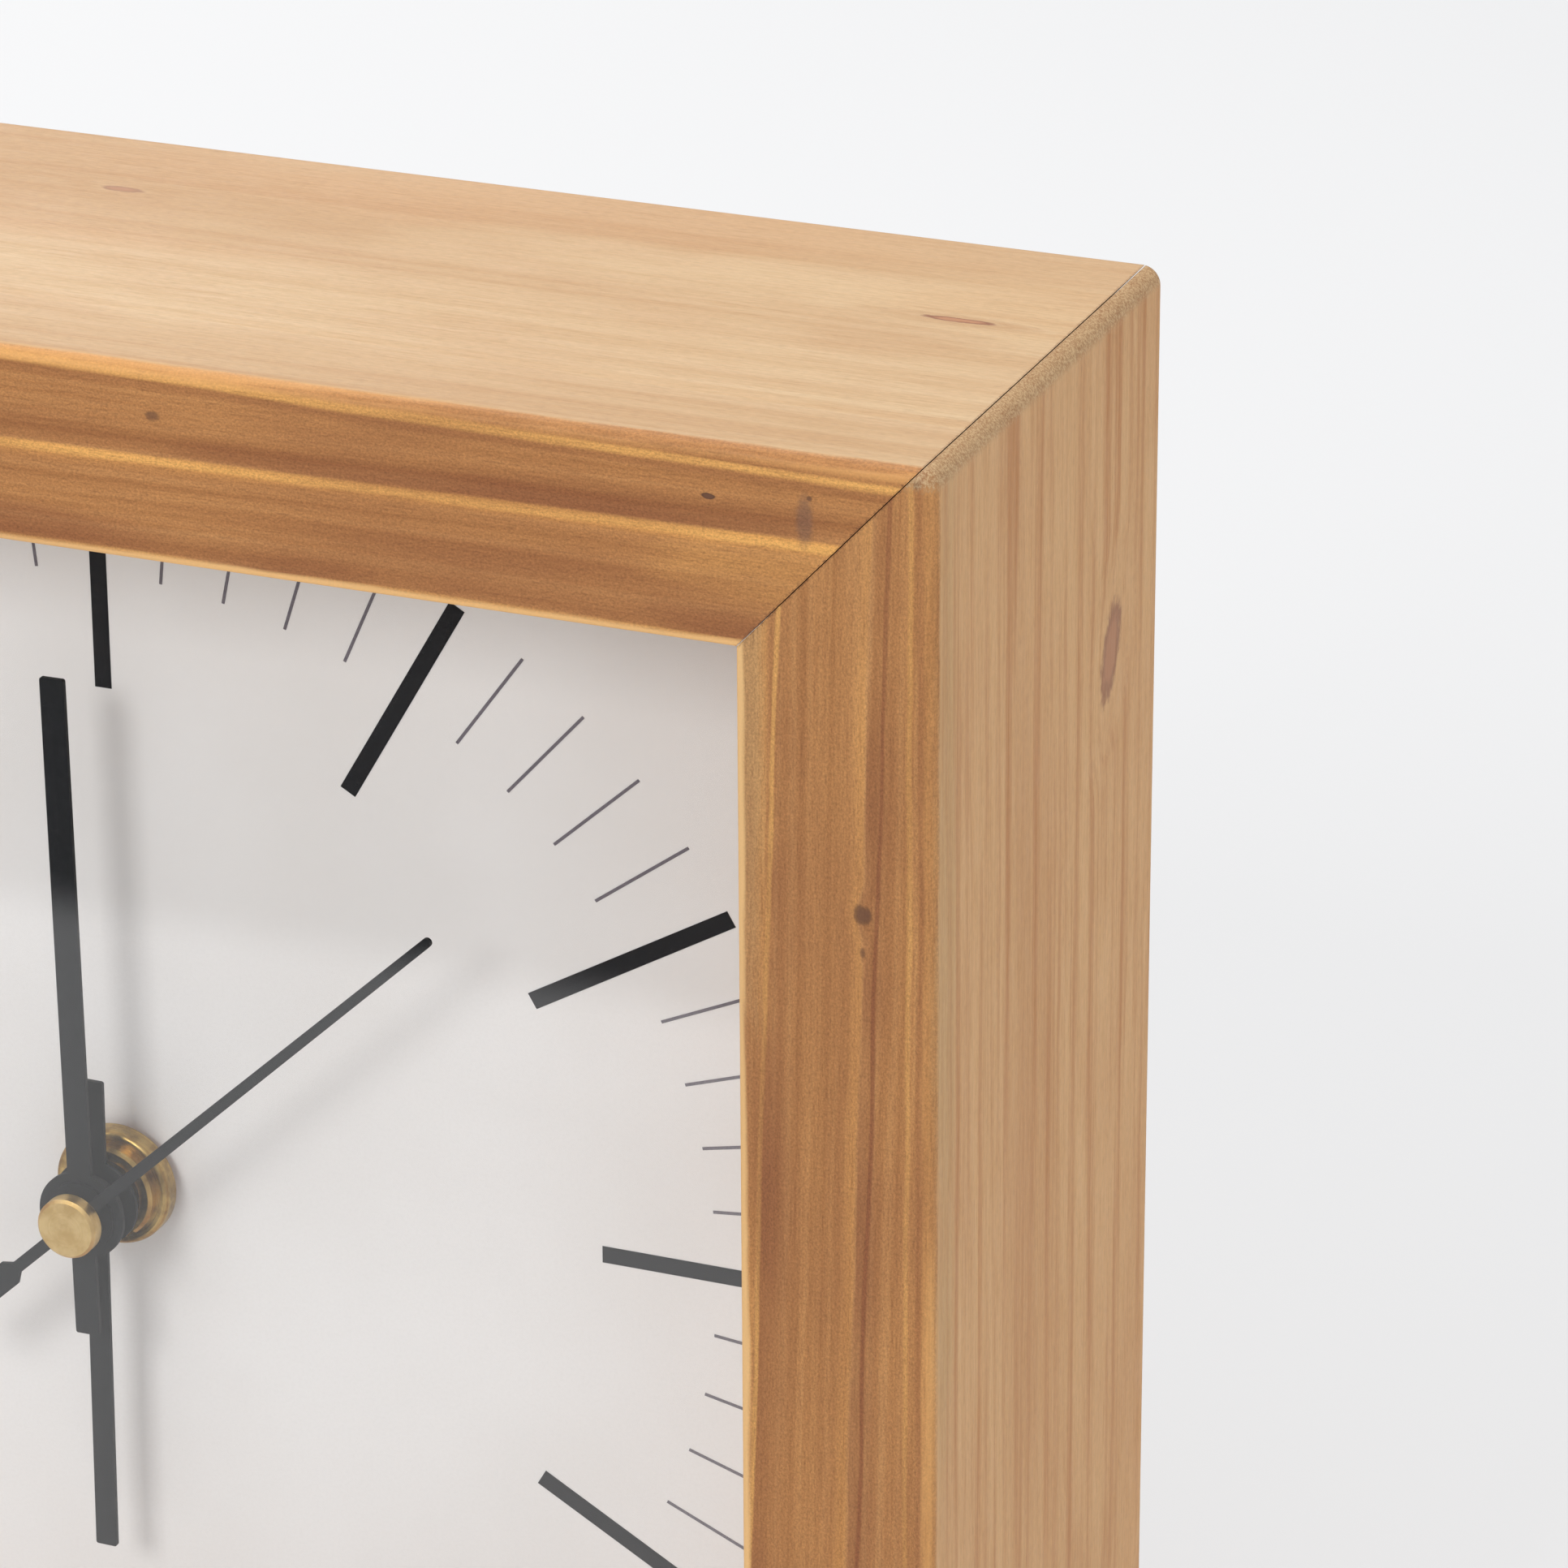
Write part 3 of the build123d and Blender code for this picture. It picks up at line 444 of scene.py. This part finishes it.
m = Mat("fibreboard")
fluff = m.noise(m.mm(), 1.6, 5.0, 0.7, 1.2)
m.set(Base_Color=m.ramp(fluff, [(0.3, srgb(120, 88, 58)), (0.7, srgb(166, 132, 94))]), Roughness=0.8)
dress(m.bump(fluff, 0.4, 0.0002), "dial_board")

# ---------------------------------------------------------------- dial
m = Mat("dial_card")
fibres = m.noise(m.mm(), 2.5, 4.0, 0.65)
cloud = m.noise(m.mm(), 0.03, 2.0, 0.5)
card = m.mix(m.span(cloud, 0.3, 0.7), srgb(232, 229, 226), srgb(238, 236, 234))
card = m.mix(m.span(fibres, 0.35, 0.75, 0.0, 0.10), card, srgb(206, 202, 198))
m.set(Base_Color=card, Roughness=0.82, Specular_IOR_Level=0.2)
dress(m.bump(fibres, 0.10, 0.00002), "dial_paper")


def coating(name, dark, light, noise, rough, specular, bump):
    """Thin matt layer, mottled between two tones."""
    m = Mat(name)
    lay = m.noise(m.mm(), *noise)
    m.set(Base_Color=m.ramp(lay, [(0.3, dark), (0.75, light)]), Roughness=rough, Specular_IOR_Level=specular)
    return m.bump(lay, *bump)


INK = dict(noise=(5.0, 3.0, 0.6), rough=0.6, specular=0.12, bump=(0.2, 0.00003))
PAINT = dict(noise=(1.2, 2.0, 0.5), rough=0.55, specular=0.15, bump=(0.08, 0.00002))
dress(coating("black_ink", srgb(37, 37, 39), srgb(42, 42, 44), **INK), "hour_marks")
dress(coating("grey_ink", srgb(106, 101, 108), srgb(128, 122, 128), **INK), "minute_marks")
dress(coating("black_paint", srgb(32, 33, 35), srgb(38, 39, 41), **PAINT),
      "hour_hand", "minute_hand", "second_hand", "minute_collar")


def turned_brass(name, light, dark, rough):
    """Brass with fine turning marks about the hands' axis."""
    m = Mat(name)
    x, y, z = m.axes()
    up = m.sub(z, AXIS_Z * MM)
    r = m.math("SQRT", m.add(m.mul(x, x), m.mul(up, up)))
    rings = m.noise(m.vec(m.mul(r, 9.0), m.mul(y, 9.0), 0.0), 1.0, 3.0, 0.6)
    tarnish = m.noise(m.mm(), 0.5, 3.0, 0.6)
    tone = m.mix(m.span(tarnish, 0.35, 0.7), light, dark)
    tone = m.mix(m.span(rings, 0.45, 0.7, 0.0, 0.35), tone, dark)
    m.set(Base_Color=tone, Metallic=1.0, Roughness=m.span(rings, 0.3, 0.7, rough, rough + 0.12))
    return m.bump(rings, 0.25, 0.00003)


dress(turned_brass("brass_cap", srgb(226, 196, 134), srgb(204, 168, 102), 0.36), "second_hand_cap")
dress(turned_brass("brass_turned", srgb(196, 164, 98), srgb(146, 116, 62), 0.26),
      "brass_washer", "mounting_nut", "threaded_bush", "minute_pipe")

# ---------------------------------------------------------------- glass
# Light that falls through the pane passes straight on, so that the dial isn't in its shadow.
m = Mat("clear_glass")
m.set(Base_Color=(1.0, 1.0, 1.0), Roughness=0.0, IOR=1.5, Transmission_Weight=1.0)
clear = m.node("ShaderNodeBsdfTransparent")
path = m.node("ShaderNodeLightPath")
through = m.math("MAXIMUM", path.outputs["Is Shadow Ray"], path.outputs["Is Diffuse Ray"])
blend = m.node("ShaderNodeMixShader")
m.put(blend.inputs[0], through)
m.put(blend.inputs[1], m.bsdf.outputs[0])
m.put(blend.inputs[2], clear.outputs[0])
m.put(m.out.inputs["Surface"], blend.outputs[0])
dress(m, "glass_pane")


# ---------------------------------------------------------------- metal and plastic
def metal(name, light, dark, rough, scale=(1.0, 1.0, 1.0)):
    """Bare metal; an uneven scale draws its mottle out into brush marks."""
    m = Mat(name)
    brushed = m.noise(m.stretch(m.mm(), scale), 2.0, 4.0, 0.6)
    m.set(Base_Color=m.ramp(brushed, [(0.3, dark), (0.7, light)]), Metallic=1.0,
          Roughness=m.span(brushed, 0.3, 0.7, rough, rough + 0.15))
    return m.bump(brushed, 0.25, 0.00004)


def plastic(name, light, dark, rough):
    """Moulded surface with a fine texture."""
    m = Mat(name)
    mottle = m.noise(m.mm(), 3.0, 3.0, 0.6)
    m.set(Base_Color=m.ramp(mottle, [(0.3, dark), (0.7, light)]),
          Roughness=m.span(mottle, 0.3, 0.7, rough, rough + 0.1))
    return m.bump(mottle, 0.4, 0.00006)


dress(metal("bright_steel", (0.62, 0.62, 0.63), (0.42, 0.42, 0.43), 0.3), "mitre_v_nails", "batten_pins",
      "contact_positive", "contact_negative", "seconds_arbor", "quartz_crystal")
dress(metal("zinc_plate", (0.66, 0.67, 0.66), (0.46, 0.47, 0.46), 0.32, (0.15, 2.0, 3.0)),
      "keyhole_hanger", "hanger_screws")
dress(metal("stator_iron", (0.40, 0.40, 0.42), (0.26, 0.26, 0.27), 0.4), "stator")
dress(plastic("moulded_black", srgb(38, 38, 40), srgb(24, 24, 25), 0.5), "movement_case", "movement_cover",
      "setting_knob", "clock_chip", "hour_pipe")
dress(plastic("acetal", srgb(236, 235, 226), srgb(216, 214, 204), 0.4), "middle_plate", "coil_bobbin",
      "rotor_pinion", "intermediate_wheel", "third_wheel", "centre_wheel", "reverse_wheel")
dress(plastic("soft_rubber", srgb(34, 34, 34), srgb(20, 20, 20), 0.8), "rubber_washer")
dress(plastic("vulcanised_fibre", srgb(146, 62, 46), srgb(118, 44, 34), 0.62), "fibre_washer")
dress(plastic("ferrite", srgb(58, 58, 60), srgb(36, 36, 38), 0.55), "rotor_magnet")

# The cell's dark film, its pale band and its bare steel ends, by X in millimetres.
FILM_START = (-23.5, -23.3)
FILM_END = (22.7, 22.9)
BAND_START = (13.0, 13.1)
m = Mat("cell_wrap")
x = m.axes()[0]
wrapped = m.mul(m.span(x, *FILM_START), m.span(x, *FILM_END, 1.0, 0.0))
crease = m.noise(m.stretch(m.mm(), (0.5, 2.0, 2.0)), 1.0, 3.0, 0.6)
film = m.mix(m.span(x, *BAND_START), srgb(58, 74, 96), srgb(196, 200, 204))
film = m.mix(m.span(crease, 0.4, 0.7, 0.0, 0.25), film, srgb(34, 42, 54))
bare = m.mix(crease, (0.42, 0.42, 0.43), (0.64, 0.64, 0.65))
m.set(Base_Color=m.mix(wrapped, bare, film), Metallic=m.sub(1.0, wrapped),
      Roughness=m.span(crease, 0.3, 0.7, 0.26, 0.40))
dress(m.bump(m.add(m.mul(crease, 0.3), wrapped), 0.5, 0.00006), "battery")
dress(plastic("solder_resist", srgb(30, 92, 52), srgb(20, 70, 38), 0.3), "circuit_board")

WIRE = 0.3      # millimetres from one turn of the coil to the next
m = Mat("copper_wire")
# The coil is painted dark in the grooves between turns and bright on their crowns: painted shade and
# highlight.
turns = m.math("SINE", m.mul(m.axes()[0], 2 * math.pi / WIRE))
m.set(Base_Color=m.mix(m.span(turns, -1, 1), srgb(120, 52, 24), srgb(206, 112, 62)), Metallic=1.0,
      Roughness=0.35)
dress(m.bump(turns, 0.6, 0.00008), "coil_winding")

# ---------------------------------------------------------------- raised marks on the movement's cover
# A rim, two turning arrows round the knob and the cell's poles, in metres.
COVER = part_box("movement_cover")
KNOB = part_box("setting_knob")
KNOB_X = (KNOB[0][0] + KNOB[1][0]) / 2
KNOB_Z = (KNOB[0][2] + KNOB[1][2]) / 2
PROFILE = ((-0.5, 0.0), (-0.42, 0.7), (-0.25, 1.0), (0.25, 1.0), (0.42, 0.7), (0.5, 0.0))
RIDGE_HEIGHT = 0.0003
RIDGE_SUNK = 0.2        # part of the ridge's height that is inside the cover
RIM_WIDTH, ARROW_WIDTH, BARB_WIDTH, POLE_WIDTH = 0.0008, 0.0006, 0.0005, 0.0007
RIM_INSET = 0.0025
RIM_INSET_BELOW = 0.0022
RIM_CORNER = 0.002
ARROW_RADIUS = 0.0078
ARROW_HALF = 38         # degrees from an arrow's middle to its end
BARB = 0.0018
BARB_TURN = 145         # degrees from the arrow's direction to its barb's
POLE_IN = 0.005
POLE_UP = 0.0035
POLE_HALF = 0.0016


def sweep(mesh, path, closed, width):
    """Ridge with rounded edges along a path of (x, z) points on the cover's back."""
    rows = []
    count = len(path)
    for i, (px, pz) in enumerate(path):
        before = path[i - 1] if closed or i else path[i]
        after = path[(i + 1) % count] if closed or i < count - 1 else path[i]
        along = Vector((after[0] - before[0], after[1] - before[1])).normalized()
        row = []
        for across, rise in PROFILE:
            out = COVER[1][1] + (rise - RIDGE_SUNK) * RIDGE_HEIGHT
            row.append(mesh.verts.new((px - along.y * across * width, out, pz + along.x * across * width)))
        rows.append(row)
    pairs = list(zip(rows, rows[1:]))
    if closed:
        pairs.append((rows[-1], rows[0]))
    for one, two in pairs:
        for j in range(len(PROFILE) - 1):
            mesh.faces.new((one[j], one[j + 1], two[j + 1], two[j]))
    if not closed:
        mesh.faces.new(rows[0])
        mesh.faces.new(rows[-1][::-1])


def arc(cx, cz, radius, start, stop, steps=16):
    """Points on an arc, its angles in degrees."""
    angles = [math.radians(start + (stop - start) * i / steps) for i in range(steps + 1)]
    return [(cx + radius * math.cos(a), cz + radius * math.sin(a)) for a in angles]


marks = bmesh.new()
x0, z0 = COVER[0][0] + RIM_INSET, COVER[0][2] + RIM_INSET_BELOW
x1, z1 = COVER[1][0] - RIM_INSET, COVER[1][2] - RIM_INSET
rim = []
for cx, cz, start in ((x1 - RIM_CORNER, z1 - RIM_CORNER, 0), (x0 + RIM_CORNER, z1 - RIM_CORNER, 90),
                      (x0 + RIM_CORNER, z0 + RIM_CORNER, 180), (x1 - RIM_CORNER, z0 + RIM_CORNER, 270)):
    rim += arc(cx, cz, RIM_CORNER, start, start + 90, 6)
sweep(marks, rim, True, RIM_WIDTH)
for middle in (90, 270):
    bow = arc(KNOB_X, KNOB_Z, ARROW_RADIUS, middle - ARROW_HALF, middle + ARROW_HALF)
    sweep(marks, bow, False, ARROW_WIDTH)
    for turn in (-BARB_TURN, BARB_TURN):
        tip = bow[-1]
        angle = math.radians(middle + ARROW_HALF + 90 + turn)
        barb = (tip[0] + BARB * math.cos(angle), tip[1] + BARB * math.sin(angle))
        sweep(marks, [barb, tip], False, BARB_WIDTH)
pole_z = z0 + POLE_UP
for pole_x, positive in ((x1 - POLE_IN, True), (x0 + POLE_IN, False)):
    sweep(marks, [(pole_x - POLE_HALF, pole_z), (pole_x + POLE_HALF, pole_z)], False, POLE_WIDTH)
    if positive:
        sweep(marks, [(pole_x, pole_z - POLE_HALF), (pole_x, pole_z + POLE_HALF)], False, POLE_WIDTH)
bmesh.ops.recalc_face_normals(marks, faces=marks.faces)
shape = bpy.data.meshes.new("cover_marks")
marks.to_mesh(shape)
marks.free()
cover_marks = bpy.data.objects.new("cover_marks", shape)
bpy.context.collection.objects.link(cover_marks)
shape.materials.append(NODES["movement_cover"].material_slots[0].material)
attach(cover_marks, "case")

# ---------------------------------------------------------------- stage, lights, camera
FLOOR_SIZE = 12.0
bpy.ops.mesh.primitive_plane_add(size=FLOOR_SIZE, location=(0, 0, LOW.z))
floor = bpy.context.object
floor.name = "floor"
m = Mat("pale_floor")
m.set(Base_Color=(0.797, 0.793, 0.790), Roughness=0.9, Specular_IOR_Level=0.1)
floor.data.materials.append(m.material)

# A dark flag lying on the floor in front of the clock: only the glass and the gloss see it.
FLAG_X = -0.1
FLAG_EDGE = -0.292      # its edge nearest to the clock
FLAG_WIDTH, FLAG_DEPTH = 2.4, 1.6
FLAG_LIFT = 0.002       # above the floor
FLAG_FADE = (0.488, 0.50)   # part of its depth over which its near edge fades out
flag_at = (FLAG_X, FLAG_EDGE - FLAG_DEPTH / 2, LOW.z + FLAG_LIFT)
bpy.ops.mesh.primitive_plane_add(size=1.0, location=flag_at)
flag = bpy.context.object
flag.name = "dark_flag"
flag.scale = (FLAG_WIDTH, FLAG_DEPTH, 1.0)
for ray in ("camera", "diffuse", "volume_scatter", "shadow"):
    setattr(flag, "visible_" + ray, False)
m = Mat("flag_black")
m.set(Base_Color=(0.01, 0.01, 0.01), Roughness=1.0, Specular_IOR_Level=0.0)
along = m.node("ShaderNodeSeparateXYZ")
m.put(along.inputs[0], m.node("ShaderNodeTexCoord").outputs["Object"])
unseen = m.node("ShaderNodeBsdfTransparent")
fade = m.node("ShaderNodeMixShader")
m.put(fade.inputs[0], m.span(along.outputs[1], *FLAG_FADE))
m.put(fade.inputs[1], m.bsdf.outputs[0])
m.put(fade.inputs[2], unseen.outputs[0])
m.put(m.out.inputs["Surface"], fade.outputs[0])
flag.data.materials.append(m.material)

bpy.context.scene.view_settings.view_transform = "Standard"
world = bpy.data.worlds.new("studio")
bpy.context.scene.world = world
world.use_nodes = True
sky_colour, sky_strength = world.node_tree.nodes["Background"].inputs[:2]
sky_colour.default_value = (0.95, 0.97, 1.0, 1.0)
sky_strength.default_value = 0.52


def area(name, place, aim, size, power):
    """Square area light at place, turned to aim."""
    light = bpy.data.lights.new(name, "AREA")
    light.shape = "RECTANGLE"
    light.size = light.size_y = size
    light.energy = power
    obj = bpy.data.objects.new(name, light)
    bpy.context.collection.objects.link(obj)
    obj.location = place
    obj.rotation_euler = (Vector(aim) - Vector(place)).to_track_quat("-Z", "Y").to_euler()


MIDDLE = (0, 0, 0.1)
area("overhead", (-0.25, 0.1, 1.5), MIDDLE, 1.2, 12.3)
area("key_left", (-0.23, -1.37, 0.9), MIDDLE, 0.5, 8.0)
area("backdrop_glow", (-0.9, 1.3, 0.9), (-0.55, 0.85, 0.0), 0.5, 5.0)
area("side_right", (1.5, -0.2, 0.7), MIDDLE, 0.9, 3.9)

# The camera looks along -back, from in front of the clock, above it and to its right.
camera_data = bpy.data.cameras.new("camera")
camera_data.lens = 164.5
camera_data.sensor_width = 36.0
camera_data.clip_start = 0.01
camera = bpy.data.objects.new("camera", camera_data)
bpy.context.collection.objects.link(camera)
CAMERA_AT = (0.31619, -0.60270, 0.42929)
right = Vector((0.92759192, 0.37356603, -0.00465233))
back = Vector((0.34541359, -0.85280954, 0.39166994))
up = back.cross(right)
turned = Matrix((right, up, back)).transposed().to_4x4()
camera.matrix_world = Matrix.Translation(CAMERA_AT) @ turned
bpy.context.scene.camera = camera
